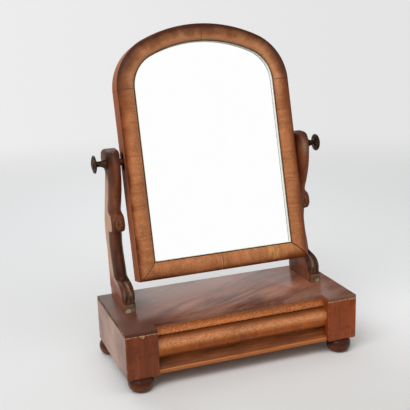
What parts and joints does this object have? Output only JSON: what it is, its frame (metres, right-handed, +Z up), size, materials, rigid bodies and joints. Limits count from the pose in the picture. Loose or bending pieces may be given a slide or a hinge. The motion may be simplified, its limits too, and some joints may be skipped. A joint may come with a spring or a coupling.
{
  "type": "toilet mirror",
  "caption": "Arched dressing mirror tilting between scrolled uprights on a box base with bun feet, half-round front moulding and mirror-screw knobs.",
  "frame": {"origin": "on the floor, under the middle of the whole object's box: halfway across the base, and halfway from the front of the feet to the back of the tilted frame", "axes": "+X to the object's right as the picture shows it, -Y towards the viewer, +Z up"},
  "size_m": [0.47, 0.2506, 0.6288],
  "materials": {
    "board_mahogany": "faded, waxed mahogany with a soft sheen",
    "block_mahogany": "polished red-brown mahogany, worn at the edges",
    "moulding_mahogany": "polished orange-brown mahogany",
    "turned_mahogany": "dark polished turned mahogany",
    "carved_mahogany": "dark polished mahogany, rubbed on the carving",
    "frame_veneer": "cross-banded mahogany veneer, polished",
    "softwood": "dry unpolished softwood",
    "ebonised_wood": "near-black turned wood, worn gloss",
    "silvered_glass": "silvered plate glass",
    "aged_brass": "dark tarnished brass",
    "screw_steel": "dull, slightly rusted steel"
  },
  "bodies": {
    "base": {"top_board": "board_mahogany", "left_end_panel": "board_mahogany", "right_end_panel": "board_mahogany", "back_board": "softwood", "bottom_board": "softwood", "left_corner_block": "block_mahogany", "right_corner_block": "block_mahogany", "front_board": "softwood", "frieze_moulding": "moulding_mahogany", "half_round_moulding": "moulding_mahogany", "plinth_moulding": "moulding_mahogany", "left_bearer": "softwood", "right_bearer": "softwood", "left_rear_block": "softwood", "right_rear_block": "softwood", "glue_blocks": "softwood", "front_left_foot": "turned_mahogany", "front_right_foot": "turned_mahogany", "rear_left_foot": "turned_mahogany", "rear_right_foot": "turned_mahogany", "left_upright": "carved_mahogany", "right_upright": "carved_mahogany", "upright_screws": "screw_steel"},
    "mirror": {"left_stile": "frame_veneer", "right_stile": "frame_veneer", "bottom_rail": "frame_veneer", "left_arch": "frame_veneer", "right_arch": "frame_veneer", "mirror_glass": "silvered_glass", "glass_wedges": "softwood", "backboard": "softwood", "backboard_screws": "screw_steel", "left_pivot_plate": "aged_brass", "right_pivot_plate": "aged_brass", "pivot_plate_screws": "screw_steel", "left_spacer": "ebonised_wood", "right_spacer": "ebonised_wood"},
    "left_screw": {"left_mirror_screw": "screw_steel", "left_knob": "ebonised_wood"},
    "right_screw": {"right_mirror_screw": "screw_steel", "right_knob": "ebonised_wood"}
  },
  "joints": [
    {"name": "mirror_tilt", "type": "hinge", "parent": "base", "child": "mirror", "pos_m": [0, 0.04618, 0.386], "axis": [1, 0, 0], "continuous": true},
    {"name": "left_screw_turn", "type": "hinge", "parent": "mirror", "child": "left_screw", "pos_m": [-0.19325, 0.04618, 0.386], "axis": [1, 0, 0], "continuous": true},
    {"name": "right_screw_turn", "type": "hinge", "parent": "mirror", "child": "right_screw", "pos_m": [0.19325, 0.04618, 0.386], "axis": [1, 0, 0], "continuous": true}
  ]
}
